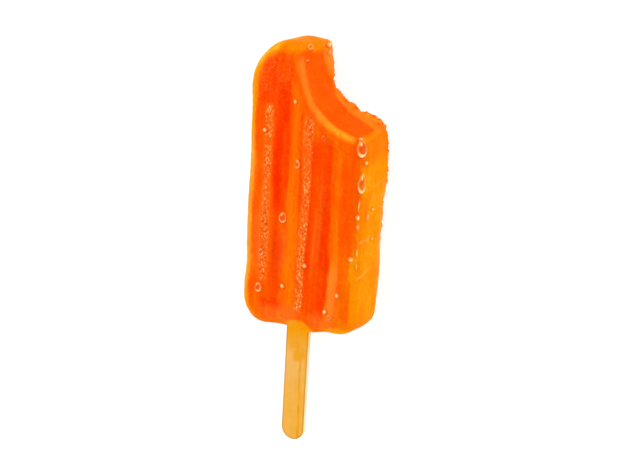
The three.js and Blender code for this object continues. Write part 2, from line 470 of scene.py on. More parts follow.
# a band: how bright, where it starts and ends across and along the ice, how soft its left and right
# edges are, and over what length its ends fade
lightAndShadeBands = [
    {"tone": 0.28, "left": -19, "right": -4.6, "low": 82, "high": 102, "soft": (3.0, 1.2), "fade": 5},
    {"tone": 0.44, "left": -18.5, "right": -16, "low": 50, "high": 76, "soft": (1.5, 0.5), "fade": 9},
    {"tone": 0.29, "left": -12.2, "right": -5.9, "low": 50, "high": 93, "soft": (1.4, 0.9), "fade": 7},
    {"tone": 0.33, "left": -11.4, "right": -7.0, "low": 10, "high": 50, "soft": (2.0, 1.4), "fade": 5},
    {"tone": 0.08, "left": -11.2, "right": -8.6, "low": 46, "high": 76, "soft": (1.4, 1.4), "fade": 10},
    {"tone": 0.18, "left": -10.6, "right": -7.4, "low": 76, "high": 89, "soft": (2.0, 2.0), "fade": 6},
    {"tone": 0.54, "left": -5.8, "right": -0.9, "low": 50, "high": 91, "soft": (0.9, 1.2), "fade": 8},
    {"tone": 0.56, "left": -7.1, "right": -1.0, "low": 9, "high": 52, "soft": (2.2, 1.0), "fade": 5},
    {"tone": 0.52, "left": -8.8, "right": -6, "low": 33, "high": 45, "soft": (1.4, 1), "fade": 6},
    {"tone": 0.36, "left": -2.0, "right": -0.8, "low": 46, "high": 82, "soft": (1.6, 1.0), "fade": 6},
    {"tone": 0.27, "left": 3.0, "right": 12.6, "low": 8, "high": 72, "soft": (0.8, 0.8), "fade": 4},
    {"tone": 0.36, "left": 5.8, "right": 8.5, "low": 26, "high": 74, "soft": (1.2, 1.8), "fade": 8},
    {"tone": 0.24, "left": 3.6, "right": 5.2, "low": 22, "high": 46, "soft": (0.5, 0.8), "fade": 6},
    {"tone": 0.25, "left": 10.0, "right": 12.6, "low": 8, "high": 69, "soft": (2.5, 0.9), "fade": 4},
    {"tone": 0.32, "left": 4.0, "right": 7.2, "low": 9, "high": 24, "soft": (1.5, 3), "fade": 5},
    {"tone": 0.5, "left": 12.7, "right": 16.9, "low": 42, "high": 71, "soft": (1.0, 1.8), "fade": 8},
    {"tone": 0.65, "left": 12.7, "right": 17.0, "low": 8, "high": 46, "soft": (0.9, 1.8), "fade": 9},
    {"tone": 0.56, "left": 12.0, "right": 14, "low": 29, "high": 41, "soft": (0.9, 0.5), "fade": 5},
    {"tone": 0.37, "left": 17.6, "right": 20.9, "low": 38, "high": 70, "soft": (1.6, 1.5), "fade": 9},
    {"tone": 0.53, "left": 17.2, "right": 21.8, "low": 6, "high": 32, "soft": (1.0, 0.8), "fade": 8},
    {"tone": 0.2, "left": -14, "right": -5.5, "low": 7.6, "high": 10.4, "soft": (3, 2), "fade": 2.5},
    {"tone": 0.68, "left": 18.5, "right": 25, "low": -3, "high": 7.4, "soft": (3.5, 1), "fade": 3},
]


def paintFaces(here):
    lowRight = rise(here.x, faces["lowRightX"]) * fall(here.y, faces["lowRightY"])
    glow = towards(faces["tone"], faces["lowRight"], lowRight)
    byTip = rise(here.y, faces["byTipY"])
    clear = [towards(far, near, byTip) for far, near in zip(faces["clearOfBite"], faces["clearByTip"])]
    bare = here.onFace * rise(here.fromBite, clear)
    for band in lightAndShadeBands:
        glow = towards(glow, band["tone"], inBand(here.swayed, here.ragged, band) * bare)
    return glow


# the left side, painted lit as thin ice, brightest along its front edge
leftSide = {
    "round": 0.8, "roundTurn": (0.1, 0.5), "edge": 1.05, "edgeZ": (0, 6), "tone": 0.82, "toneZ": (2, 8),
    "clouds": 3,
}


def paintLeft(glow, here):
    cloudyZ = here.z + leftSide["clouds"] * here.clouds
    glow = towards(glow, leftSide["round"], rise(-here.nx, leftSide["roundTurn"]) * here.atLeft)
    glow = towards(glow, leftSide["edge"], here.onLeft * rise(cloudyZ, leftSide["edgeZ"]))
    return towards(glow, leftSide["tone"], here.onLeft * fall(cloudyZ, leftSide["toneZ"]))


# the base end, painted lit by which way it faces, more on the right and where it faces straight out
baseEnd = {
    "tone": 0.58, "turn": (0.2, 0.7), "right": 0.84, "rightX": (10, 15),
    "edge": 0.85, "litEdgeTurn": (0.8, 0.98),
}


def paintBase(glow, here):
    baseTone = towards(baseEnd["tone"], baseEnd["right"], rise(here.x, baseEnd["rightX"]))
    glow = towards(glow, baseTone, rise(-here.ny, baseEnd["turn"]))
    return towards(glow, baseEnd["edge"], rise(-here.ny, baseEnd["litEdgeTurn"]))


# the right side, painted lit: duller beside the bite and at its foot, and towards the front also halfway up
rightSide = {
    "tone": 0.86, "byBite": 0.68, "byBiteY": (62, 70), "cornerX": (20.8, 22), "x": (15, 19), "y": (14, 24),
    "turn": 0.38, "turnSpan": 0.26, "turnMore": 0.3, "turnMoreY": (26, 34),
    "foot": 0.12, "footY": (3, 8), "low": 0.03, "lowY": (22, 32), "frontZ": (2, 7),
    "half": 0.16, "halfFromY": (31, 37), "halfToY": (52, 57), "frontFoot": 0.1, "frontFootY": (8, 13),
}


def paintRight(glow, here):
    x, y, z = here.x, here.y, here.z
    inCorner = rise(x, rightSide["cornerX"])
    turned = towards(here.nx, np.hypot(here.nx, here.ny), inCorner)
    turnFrom = rightSide["turn"] + rightSide["turnMore"] * rise(y, rightSide["turnMoreY"])
    onSide = rise(turned, (turnFrom, turnFrom + rightSide["turnSpan"])) * (1 - here.onBite)
    onSide *= np.maximum(inCorner, rise(x, rightSide["x"]) * rise(y, rightSide["y"]))
    sideTone = towards(rightSide["tone"], rightSide["byBite"], rise(y, rightSide["byBiteY"]))
    sideTone -= rightSide["foot"] * fall(y, rightSide["footY"])
    sideTone -= rightSide["low"] * fall(y, rightSide["lowY"])
    halfway = rise(y, rightSide["halfFromY"]) * fall(y, rightSide["halfToY"])
    dull = rightSide["half"] * halfway + rightSide["frontFoot"] * fall(y, rightSide["frontFootY"])
    sideTone -= dull * rise(z, rightSide["frontZ"])
    return towards(glow, sideTone, onSide)


# the tip end, painted lit where it faces the tip, most on its left
tipEnd = {
    "left": 1.02, "tone": 0.7, "toneX": (-14, -9.5), "middle": 0.08, "middleX": (-6, -3),
    "byBite": 0.18, "byBiteX": (3, 7.5), "turn": (0.3, 0.75), "cornerTurn": 0.1, "cornerX": (-14, -9),
    "endX": (8, 14),
}


def paintTip(glow, here):
    upward = here.ny + tipEnd["cornerTurn"] * fall(here.x, tipEnd["cornerX"])
    nearTip = rise(upward, tipEnd["turn"]) * (1 - here.onBite) * fall(here.x, tipEnd["endX"])
    tipTone = towards(tipEnd["left"], tipEnd["tone"], rise(here.x, tipEnd["toneX"]))
    tipTone += tipEnd["middle"] * rise(here.x, tipEnd["middleX"])
    tipTone += tipEnd["byBite"] * rise(here.x, tipEnd["byBiteX"])
    return towards(glow, tipTone, np.maximum(nearTip, here.tipEdge))


# the ice over the stick where it enters is thin and lit, below an arch
stickLip = {
    "tone": 0.89, "crestX": 2.8, "crestY": 4.8, "fallLeft": 0.045, "fallRight": 0.19, "soft": 0.5,
    "leftX": (-3.7, -3.0), "frontZ": (2, 5),
}


def paintLip(glow, here):
    offCrest = here.x - stickLip["crestX"]
    right, left = np.maximum(offCrest, 0), np.minimum(offCrest, 0)
    fallen = stickLip["fallRight"] * right ** 2 + stickLip["fallLeft"] * left ** 2
    belowArch = fall(here.y - stickLip["crestY"] + fallen, (-stickLip["soft"], stickLip["soft"]))
    lit = rise(here.x, stickLip["leftX"]) * belowArch * rise(here.z, stickLip["frontZ"])
    return towards(glow, stickLip["tone"], lit)


# the back of the bite, its teeth and its end on the right are thin, so light comes through
biteInside = {
    "wall": 0.41, "back": 0.76,
    "deep": 5, "deeper": [{"by": 2, "x": (0, 4)}, {"by": 2.4, "x": (5, 9)}, {"by": 1, "x": (15, 20)}],
    "deeperByTip": 4.5, "byTipY": (87, 100), "sharpShare": 0.75, "sharp": (-1, 1.5),
    "soft": (-4.5, 1), "softY": (85, 91), "teeth": 0.9, "teethReach": (0.7, 1.9), "teethClouds": 0.3,
    "endX": (20.2, 22.2), "endSlope": 0.55, "endSlopeZ": -2, "endClouds": 0.5,
}


def thinBackOf(here):
    deep = biteInside["deep"] + sum(more["by"] * rise(here.x, more["x"]) for more in biteInside["deeper"])
    deep = deep + biteInside["deeperByTip"] * rise(here.y, biteInside["byTipY"])
    fromBack = here.z + halfThick + wander(here.places, "biteBack")
    sharp = fall(fromBack - deep, biteInside["sharp"])
    lit = towards(fall(fromBack, (0, deep)), sharp, biteInside["sharpShare"])
    lit = towards(lit, fall(fromBack - deep, biteInside["soft"]), rise(here.y, biteInside["softY"]))
    inward = biteInside["teethClouds"] * here.clouds - here.fromBite
    return np.maximum(lit, biteInside["teeth"] * rise(inward, biteInside["teethReach"]))


def paintBite(glow, here):
    slope = biteInside["endSlope"] * np.minimum(0, here.z - biteInside["endSlopeZ"])
    end = rise(here.x - slope + biteInside["endClouds"] * here.clouds, biteInside["endX"])
    biteTone = towards(biteInside["wall"], biteInside["back"], np.maximum(here.thinBack, end))
    return towards(glow, biteTone, here.onBite * (1 - here.tipEdge))


# the melted rim, with a painted highlight on its rounded edge; it runs further down into the bite near the
# tip
meltedRim = {
    "tone": 0.93, "byTip": 0.68, "toneX": (0, 15), "inward": 1.5, "inwardX": (-3, 4),
    "from": (-0.7, 0.8), "to": (1.4, 3.6), "slope": 0.45, "slopeZ": halfThick - 0.4,
    "tipY": (98, 103), "frontZ": (0, 5), "sideX": (19.5, 21.5),
}


def rimOf(here):
    intoBite = here.fromBite - meltedRim["slope"] * np.maximum(meltedRim["slopeZ"] - here.z, 0)
    past = intoBite + meltedRim["inward"] * fall(here.x, meltedRim["inwardX"])
    rim = rise(past, meltedRim["from"]) * fall(past, meltedRim["to"]) * rise(here.z, meltedRim["frontZ"])
    return rim * fall(here.y, meltedRim["tipY"]) * fall(here.x, meltedRim["sideX"])


def paintRim(glow, here):
    rimTone = towards(meltedRim["byTip"], meltedRim["tone"], rise(here.x, meltedRim["toneX"]))
    return towards(glow, rimTone, here.rim)


# clouds, stronger at the back and on the left side, and streaks, weaker off the two faces
clouding = {
    "clouds": 0.08, "moreBehind": 0.8, "behindZ": (-8, -3), "rightTurnZ": 8,
    "streaks": 0.1, "offFace": 0.4,
}


def paintClouds(glow, here):
    inFront = rise(np.maximum(here.z, clouding["rightTurnZ"] * here.nx), clouding["behindZ"])
    behind = 1 - inFront * (1 - here.onLeft)
    clouds = clouding["clouds"] * (1 + clouding["moreBehind"] * behind) * here.clouds
    streaks = clouding["streaks"] * here.streaks * (1 - here.onBite)
    return glow + clouds + streaks * towards(clouding["offFace"], 1, here.onFace)


# over its colours lies rime, along the left rib and the middle one, its pale ticks partly painted sparkle
rimeAndSparkle = [
    {"much": 0.85, "left": -15.6, "right": -12.1, "low": 17, "high": 83, "soft": (1.4, 1.6), "fade": 1.5},
    {"much": 0.85, "left": -0.4, "right": 3.2, "low": 9, "high": 80.5, "soft": (1.2, 1.4), "fade": 1.5},
    {"much": 1.0, "left": -0.4, "right": 3.2, "low": 8, "high": 43, "soft": (1.2, 0.8), "fade": 3},
]
rimeEvenness = 0.88  # before its patches


def rimeAndSparkleOn(here):
    patches = rimeEvenness + wander(here.places, "patches")
    return mostOf(rimeAndSparkle, here.swayed, here.y) * patches * here.onFront


# dark lines along the flutes and across them
shade = [
    {"much": 0.75, "left": 3.2, "right": 4.0, "low": 9, "high": 46, "soft": (0.6, 0.6), "fade": 5},
    {"much": 0.3, "left": 3.2, "right": 4.2, "low": 44, "high": 79, "soft": (0.8, 0.8), "fade": 5},
    {"much": 0.4, "left": -1.9, "right": -0.7, "low": 46, "high": 82, "soft": (1.4, 0.8), "fade": 6},
    {"much": 0.55, "left": -10.2, "right": -9.3, "low": 24, "high": 39, "soft": (0.4, 0.7), "fade": 6},
    {"much": 0.5, "left": 7.8, "right": 11.0, "low": 45.4, "high": 49.6, "soft": (1.5, 1.5), "fade": 1.6},
    {"much": 0.4, "left": -14, "right": -7, "low": 8.9, "high": 10.1, "soft": (3, 2), "fade": 0.8},
    {"much": 0.35, "left": 4.0, "right": 12.4, "low": 25.2, "high": 26.4, "soft": (1, 1), "fade": 0.8},
]
# and one outside the rim of the bite
rimLine = {
    "much": 0.5, "out": 4.3, "outMore": 2.4, "outMoreX": (3, 20), "width": 0.45,
    "fromX": (1, 4), "toX": (18, 21),
}


def shadeOn(here):
    offLine = here.fromBite - rimLine["out"] - rimLine["outMore"] * rise(here.x, rimLine["outMoreX"])
    line = rimLine["much"] * np.exp(-(offLine / rimLine["width"]) ** 2)
    line *= rise(here.x, rimLine["fromX"]) * fall(here.x, rimLine["toX"])
    return np.maximum(mostOf(shade, here.swayed, here.ragged), line) * here.onFront


# milky ice, full of tiny bubbles
milk = [
    {"much": 0.3, "left": -13, "right": 1, "low": 2.5, "high": 8.6, "soft": (6, 4), "fade": 4},
    {"much": 0.45, "left": 13, "right": 17, "low": 6, "high": 27, "soft": (1, 2.4), "fade": 10},
    {"much": 0.35, "left": 6.1, "right": 7.0, "low": 22, "high": 45, "soft": (0.8, 1), "fade": 9},
    {"much": 0.25, "left": 7.6, "right": 8.6, "low": 28, "high": 60, "soft": (0.8, 1), "fade": 12},
    {"much": 0.25, "left": -8.4, "right": -6.6, "low": 22, "high": 38, "soft": (1.2, 1.2), "fade": 9},
    {"much": 0.25, "left": -18, "right": -15.4, "low": 22, "high": 44, "soft": (1.6, 1), "fade": 12},
    {"much": 0.3, "left": -15.3, "right": -12.6, "low": 74, "high": 83.5, "soft": (0.5, 0.5), "fade": 1},
    {"much": 0.25, "left": 7, "right": 14, "low": 3, "high": 8.5, "soft": (4, 4), "fade": 4},
    {"much": 0.75, "left": -26, "right": -20, "low": 14, "high": 70, "soft": (1, 2.5), "fade": 16},
]
# and on the rim and the back of the bite, along the back edge of the right side, and on the left side
haze = {
    "rim": 0.4, "rimRight": 0.15, "rimRightX": (4, 14),
    "bite": 0.25, "biteByTip": 0.45, "byTipY": (90, 98),
    "backEdge": 1.1, "backEdgeClouds": 0.8, "backEdgeTurn": (0.5, 0.8), "backEdgeStreaks": 2,
    "backEdgeZ": (4 - halfThick, 9 - halfThick), "backEdgeFromY": (10, 20), "backEdgeToY": (52, 62),
    "left": 0.7, "leftZ": (3, 8), "leftPatches": (-0.05, 0.4),
}


def milkOn(here):
    onFront = mostOf(milk, here.swayed, here.ragged) * here.onFront
    onRim = towards(haze["rim"], haze["rimRight"], rise(here.x, haze["rimRightX"])) * here.rim
    inBite = towards(haze["bite"], haze["biteByTip"], rise(here.y, haze["byTipY"]))
    inBite *= here.onBite * here.thinBack
    backEdge = rise(here.nx, haze["backEdgeTurn"])
    backEdge *= fall(here.z + haze["backEdgeStreaks"] * here.streaks, haze["backEdgeZ"])
    backEdge *= rise(here.y, haze["backEdgeFromY"]) * fall(here.y, haze["backEdgeToY"])
    backEdge *= haze["backEdge"] + haze["backEdgeClouds"] * here.clouds
    patches = rise(wander(here.places, "haze"), haze["leftPatches"])
    onLeft = haze["left"] * here.onLeft * fall(here.z, haze["leftZ"]) * patches
    return np.max([onFront, onRim, inBite, backEdge, onLeft], axis=0)


# hair cracks: on the left of the front below the tip, and on the left side
hairCracks = {"fromY": (82, 88), "toY": (99, 103), "toX": (-8, -4), "leftZ": (3, 8)}


def cracksOn(here):
    onFront = here.onFront * rise(here.y, hairCracks["fromY"]) * fall(here.y, hairCracks["toY"])
    onFront *= fall(here.x, hairCracks["toX"])
    return np.maximum(onFront, here.onLeft * fall(here.z, hairCracks["leftZ"]))


# scratches across the side: how high they start at its front edge, how steeply they climb to the
# back, and between which z they run
scratches = [
    {"start": 36.6, "climb": 0.05, "front": 10, "back": -1.5, "much": 0.7},
    {"start": 22.4, "climb": 0.27, "front": 10, "back": -1.5, "much": 0.6},
    {"start": 54, "climb": 0.2, "front": 3, "back": -9, "much": 0.4},
]
scratchShape = {"width": 0.5, "fade": (0, 1.5), "turn": (0.3, 0.6)}


def scratchesOn(here):
    most = 0
    for mark in scratches:
        offMark = here.y - mark["start"] - mark["climb"] * (halfThick - here.z)
        line = mark["much"] * np.exp(-(offMark / scratchShape["width"]) ** 2)
        line *= rise(mark["front"] - here.z, scratchShape["fade"])
        line *= rise(here.z - mark["back"], scratchShape["fade"])
        most = np.maximum(most, line)
    return most * rise(np.abs(here.nx), scratchShape["turn"])


def paintIce(piece):
    here = measureIce(piece)
    here.thinBack, here.rim = thinBackOf(here), rimOf(here)
    glow = paintFaces(here)
    for paint in (paintLeft, paintBase, paintRight, paintTip, paintLip, paintBite, paintRim, paintClouds):
        glow = paint(glow, here)
    giveAttribute(piece, "glow", glow)
    giveAttribute(piece, "frostAndSparkle", rimeAndSparkleOn(here))
    giveAttribute(piece, "shade", shadeOn(here))
    giveAttribute(piece, "milk", milkOn(here))
    giveAttribute(piece, "crackle", cracksOn(here))
    giveAttribute(piece, "scratch", scratchesOn(here))


def mixColours(tree, share, under, over):
    node = addNode(tree, "ShaderNodeMix", {"data_type": "RGBA"})
    tree.links.new(share, node.inputs[0])
    for socket, colour in ((node.inputs[6], under), (node.inputs[7], over)):
        if isinstance(colour, str):
            socket.default_value = linear(colour)
        else:
            tree.links.new(colour, socket)
    return node.outputs[2]


def maths(tree, operation, *values):
    node = addNode(tree, "ShaderNodeMath", {"operation": operation})
    for socket, value in zip(node.inputs, values):
        if isinstance(value, (int, float)):
            socket.default_value = value
        else:
            tree.links.new(value, socket)
    return node.outputs[0]


def product(tree, value, *factors):
    for factor in factors:
        value = maths(tree, "MULTIPLY", value, factor)
    return value


def total(tree, value, *others):
    for other in others:
        value = maths(tree, "ADD", value, other)
    return value


def minus(tree, value, taken):
    return maths(tree, "SUBTRACT", value, taken)


def scaled(tree, value, factor, added):
    return maths(tree, "MULTIPLY_ADD", value, factor, added)


def squareSum(tree, x, y):
    return total(tree, product(tree, x, x), product(tree, y, y))


def distance(tree, x, y):
    return maths(tree, "SQRT", squareSum(tree, x, y))


def between(tree, value, span):
    # 0 at the start of the span and 1 at its end, which may be the smaller of the two
    limits = {"From Min": span[0], "From Max": span[1]}
    return addNode(tree, "ShaderNodeMapRange", limits, {"Value": value}).outputs[0]


def attribute(tree, name, output="Fac"):
    return addNode(tree, "ShaderNodeAttribute", {"attribute_name": name}).outputs[output]


def objectPlace(tree):
    return addNode(tree, "ShaderNodeTexCoord").outputs["Object"]


def stretched(tree, place, scale):
    return addNode(tree, "ShaderNodeMapping", {"Scale": scale}, {"Vector": place}).outputs[0]


def noiseAt(tree, place, grain, detail=3, **settings):
    settings = {"Scale": 1 / (grain * mm), "Detail": detail, **settings}
    return addNode(tree, "ShaderNodeTexNoise", settings, {"Vector": place}).outputs[0]


def colourRamp(tree, value, stops):
    ramp = addNode(tree, "ShaderNodeValToRGB", links={"Fac": value})
    setRamp(ramp, stops)
    return ramp.outputs[0]


# from deep red ice to thin lit ice
juiceStops = [
    (0, "#FF2600"), (0.2, "#FF4000"), (0.45, "#FF5F02"),
    (0.7, "#FF7F04"), (0.88, "#FF9602"), (1, "#FFAC2A"),
]


def addFinish(tree, settings, colour=None, bump=None, height=None):
    # the shader, with its painted colour and its relief, where it has them
    links = {"Base Color": colour} if colour else {}
    if bump:
        links["Normal"] = addNode(tree, "ShaderNodeBump", bump, {"Height": height}).outputs[0]
    shader = addNode(tree, "ShaderNodeBsdfPrincipled", settings, links)
    addNode(tree, "ShaderNodeOutputMaterial", links={"Surface": shader.outputs[0]})


# frozen juice: how much each mark shows, its grain in mm and how that is drawn out, between which
# values of its noise it comes in, and its colour, or its colours in deep red ice and in lit ice
juiceLook = {
    "mottle": 0.24, "mottleGrain": 1.5, "fine": 0.24, "fineGrain": 0.7,
    "streak": 0.18, "streakGrain": 0.7, "streakScale": (1, 0.12, 1), "evenedOut": -0.33,
    "milk": 0.5, "milkColours": ("#FF802C", "#FFAC58"), "film": 0.65, "filmColour": "#FF7422",
    "tickGrain": 0.74, "tickScale": (1, 0.75, 1), "ticks": (0.54, 0.62),
    "pits": (0.44, 0.37), "pitColour": "#CC4406",
    "clumpGrain": 2.6, "clumps": (0.4, 0.58), "sparkleColours": ("#FFA64C", "#FFC878"),
    "shade": 0.8, "shadeGrain": 0.8, "shadeScale": (1, 0.5, 1), "shadeBreaks": (0.36, 0.54),
    "shadeColour": "#DC3A00",
    "speck": 0.6, "speckSpacing": 2.6, "speckEdge": (0.11, 0.05), "speckGlow": (0.66, 0.5),
    "speckMottle": (0.46, 0.54), "speckColour": "#C84A06",
    "crack": 0.45, "crackGrain": 3, "crackScale": (0.9, 0.7, 0.9), "crackEdge": (0.03, 0),
    "crackColour": "#FF7E3C",
    "scratch": 0.6, "scratchGrain": 1.2, "scratchScale": (1, 1, 0.3), "scratchBreaks": (0.36, 0.56),
    "scratchColour": "#FFC060",
    "rimeRelief": 0.6, "reliefStrength": 0.5, "relief": 0.2, "glowDepth": 1.6, "shine": "#FFAC48",
}


def juiceColour(tree, place, mottle):
    # the glow as a colour, a little uneven, and paler where the ice is milky
    glow = attribute(tree, "glow")
    fine = noiseAt(tree, place, juiceLook["fineGrain"], 2)
    drawnOut = stretched(tree, place, juiceLook["streakScale"])
    streak = noiseAt(tree, drawnOut, juiceLook["streakGrain"], 2)
    coarser = product(tree, mottle, juiceLook["mottle"])
    finer = product(tree, fine, juiceLook["fine"])
    streaked = scaled(tree, streak, juiceLook["streak"], juiceLook["evenedOut"])
    juice = colourRamp(tree, total(tree, coarser, finer, streaked, glow), juiceStops)
    cloudy = mixColours(tree, glow, *juiceLook["milkColours"])
    return mixColours(tree, product(tree, attribute(tree, "milk"), juiceLook["milk"]), juice, cloudy)


def rimeAndSparkleOver(tree, place, under):
    # rime: ticks half a millimetre wide and a little longer, with dark pits between them; the pale ticks
    # are partly painted sparkle
    frostAndSparkle = attribute(tree, "frostAndSparkle")
    strong = maths(tree, "POWER", frostAndSparkle, 2)
    ticks = noiseAt(tree, stretched(tree, place, juiceLook["tickScale"]), juiceLook["tickGrain"], 2)
    clumps = between(tree, noiseAt(tree, place, juiceLook["clumpGrain"], 1), juiceLook["clumps"])
    film = mixColours(tree, product(tree, frostAndSparkle, juiceLook["film"]), under, juiceLook["filmColour"])
    pits = product(tree, between(tree, ticks, juiceLook["pits"]), strong)
    pitted = mixColours(tree, pits, film, juiceLook["pitColour"])
    pale = product(tree, between(tree, ticks, juiceLook["ticks"]), strong)
    return mixColours(tree, pale, pitted, mixColours(tree, clumps, *juiceLook["sparkleColours"])), pale


def darkLinesOver(tree, place, under):
    # the dark lines at the flutes, broken up
    broken = noiseAt(tree, stretched(tree, place, juiceLook["shadeScale"]), juiceLook["shadeGrain"], 2)
    lines = product(tree, attribute(tree, "shade"), between(tree, broken, juiceLook["shadeBreaks"]))
    return mixColours(tree, product(tree, lines, juiceLook["shade"]), under, juiceLook["shadeColour"])


def specksOver(tree, place, mottle, under):
    # specks of pulp trapped in the deeper ice
    scale = 1 / (juiceLook["speckSpacing"] * mm)
    cells = addNode(tree, "ShaderNodeTexVoronoi", {"Scale": scale}, {"Vector": place})
    nearSpeck = between(tree, cells.outputs["Distance"], juiceLook["speckEdge"])
    deeper = between(tree, attribute(tree, "glow"), juiceLook["speckGlow"])
    speck = product(tree, nearSpeck, between(tree, mottle, juiceLook["speckMottle"]), deeper)
    return mixColours(tree, product(tree, speck, juiceLook["speck"]), under, juiceLook["speckColour"])


def cracksOver(tree, place, under):
    # hair cracks in the ice under the surface
    drawnOut = stretched(tree, place, juiceLook["crackScale"])
    wavy = noiseAt(tree, drawnOut, juiceLook["crackGrain"], 2, Distortion=1.6)
    crack = between(tree, maths(tree, "ABSOLUTE", minus(tree, wavy, 0.5)), juiceLook["crackEdge"])
    share = product(tree, crack, attribute(tree, "crackle"), juiceLook["crack"])
    return mixColours(tree, share, under, juiceLook["crackColour"])


def scratchesOver(tree, place, under):
    # frosty scratches across the side
    drawnOut = stretched(tree, place, juiceLook["scratchScale"])
    grains = noiseAt(tree, drawnOut, juiceLook["scratchGrain"], 2)
    frosty = between(tree, grains, juiceLook["scratchBreaks"])
    share = product(tree, frosty, attribute(tree, "scratch"), juiceLook["scratch"])
    return mixColours(tree, share, under, juiceLook["scratchColour"])


def frozenJuice():
    # frozen orange juice, moulded and half melted: translucent, with rime on two ribs, whose pale ticks are
    # partly painted sparkle
    material, tree = newMaterial("frozenOrangeJuice")
    place = objectPlace(tree)
    mottle = noiseAt(tree, place, juiceLook["mottleGrain"])
    frosted, rimeHere = rimeAndSparkleOver(tree, place, juiceColour(tree, place, mottle))
    lined = darkLinesOver(tree, place, frosted)
    specked = specksOver(tree, place, mottle, lined)
    scratched = scratchesOver(tree, place, cracksOver(tree, place, specked))
    finish = {
        "Subsurface Weight": 0.4, "Subsurface Radius": (1, 0.3, 0.06),
        "Subsurface Scale": juiceLook["glowDepth"] * mm, "Roughness": 0.3, "IOR": 1.31,
        "Specular IOR Level": 0.004, "Specular Tint": linear(juiceLook["shine"]),
    }
    bump = {"Strength": juiceLook["reliefStrength"], "Distance": juiceLook["relief"] * mm}
    addFinish(tree, finish, scratched, bump, scaled(tree, rimeHere, juiceLook["rimeRelief"], mottle))
    return material


paintIce(ice)
ice.data.materials.append(frozenJuice())
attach(ice, "root")
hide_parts("ice_body")
print("ice painted")

# drops of melt water, by where they hang on the ice
dropShape = {"segments": 32, "rings": 20, "taper": 0.3, "steep": 0.7}
# and smaller ones by a seeded draw on the left side; those narrower than beadUnder are beads
sideDrops = {
    "seed": 5, "count": 14, "along": (8, 92), "depth": (-8, 6), "wide": (0.9, 2.8), "longer": (1, 1.5),
    "high": 0.38, "bright": (0.3, 0.9), "beadUnder": 2,
}
dropSpots = [
    {"spot": (22.6, 71.5, 10.6), "wide": 4.7, "long": 6.8, "high": 1.3, "bright": 1},
    {"spot": (21.9, 74.3, 10.2), "wide": 2.8, "long": 2.6, "high": 1.1, "bright": 1, "bead": 0.5},
    {"spot": (22.9, 59.2, 10.0), "wide": 3.9, "long": 8.2, "high": 1.2, "bright": 1, "taper": 0.75},
    {"spot": (23.8, 66.4, 9.3), "wide": 2.0, "long": 2.0, "high": 0.8, "bright": 0.9, "bead": 1},
    {"spot": (-3.6, 85.1, 12.4), "wide": 2.0, "long": 2.0, "high": 0.8, "bright": 1, "bead": 1},
    {"spot": (-1.4, 62.8, 12.9), "wide": 3.0, "long": 3.8, "high": 0.9, "bright": 0.5, "litFrom": -1},
    {"spot": (-15.3, 73.3, 12.9), "wide": 2.2, "long": 2.1, "high": 0.8, "bright": 0.8, "bead": 1},
    {"spot": (-3.0, 103.9, 4.4), "wide": 4.6, "long": 2.4, "high": 0.5, "bright": 0.4},
    {"spot": (-2.1, 100.4, -8.8), "wide": 3.6, "long": 2.8, "high": 0.3, "bright": 0.2, "bead": 0.7},
    {"spot": (-2.1, 103.5, -7.9), "wide": 4.2, "long": 2.4, "high": 0.9, "bright": 1, "bead": 1},
    {"spot": (8.4, 73.5, 12.6), "wide": 2.2, "long": 2.6, "high": 0.5, "bright": 0.05},
    {"spot": (4.5, 67.8, 13.1), "wide": 0.9, "long": 0.9, "high": 0.4, "bright": 0.3, "bead": 0.8},
    {"spot": (-2.7, 99.3, 7.6), "wide": 3.6, "long": 0.9, "high": 0.3, "bright": 0.3, "bead": 0.7},
    {"spot": (-7.3, 41.7, 11.1), "wide": 3.4, "long": 4.5, "high": 0.9, "bright": 0.6},
    {"spot": (-14.5, 27.9, 13.1), "wide": 2.6, "long": 3.0, "high": 0.8, "bright": 0.5},
    {"spot": (-15.2, 14.2, 12.7), "wide": 3.1, "long": 4.0, "high": 0.9, "bright": 0.7},
    {"spot": (-5.7, 16.0, 11.1), "wide": 2.9, "long": 2.3, "high": 0.8, "bright": 1, "bead": 1},
    {"spot": (3.9, 26.0, 13.2), "wide": 2.6, "long": 2.3, "high": 0.8, "bright": 0.65, "bead": 1},
    {"spot": (17.5, 17.2, 12.9), "wide": 2.3, "long": 2.2, "high": 0.8, "bright": 0.7, "bead": 1},
    {"spot": (12.8, 9.9, 12.4), "wide": 2.1, "long": 2.4, "high": 0.8, "bright": 1, "bead": 1},
    {"spot": (14.9, 8.3, 13.0), "wide": 2.0, "long": 2.2, "high": 0.5, "bright": 0.3},
    {"spot": (21.4, 31.1, 11.8), "wide": 2.8, "long": 2.3, "high": 0.8, "bright": 0.65, "bead": 1},
    {"spot": (22.1, 46.4, 10.1), "wide": 2.2, "long": 2.6, "high": 0.8, "bright": 1, "bead": 1},
    {"spot": (22.3, 51.1, 10.1), "wide": 0.9, "long": 6.6, "high": 0.4, "bright": 0.6, "bead": 1},
    {"spot": (22.4, 42.8, 10.0), "wide": 1.8, "long": 2.3, "high": 0.6, "bright": 0.5, "bead": 0.6},
    {"spot": (22.8, 33.4, 10.0), "wide": 1.1, "long": 4.0, "high": 0.4, "bright": 0.5, "bead": 1},
    {"spot": (23.0, 28.4, 10.0), "wide": 0.9, "long": 4.0, "high": 0.4, "bright": 0.3, "bead": 1},
    {"spot": (23.3, 45.7, 4.5), "wide": 2.6, "long": 3.2, "high": 0.5, "bright": 0.3, "bead": 0.6},
    {"spot": (23.1, 47.8, 0.4), "wide": 2.6, "long": 1.4, "high": 0.5, "bright": 0.7, "bead": 1},
    {"spot": (23.5, 36.7, 0.0), "wide": 2.4, "long": 1.3, "high": 0.5, "bright": 0.6, "bead": 1},
]


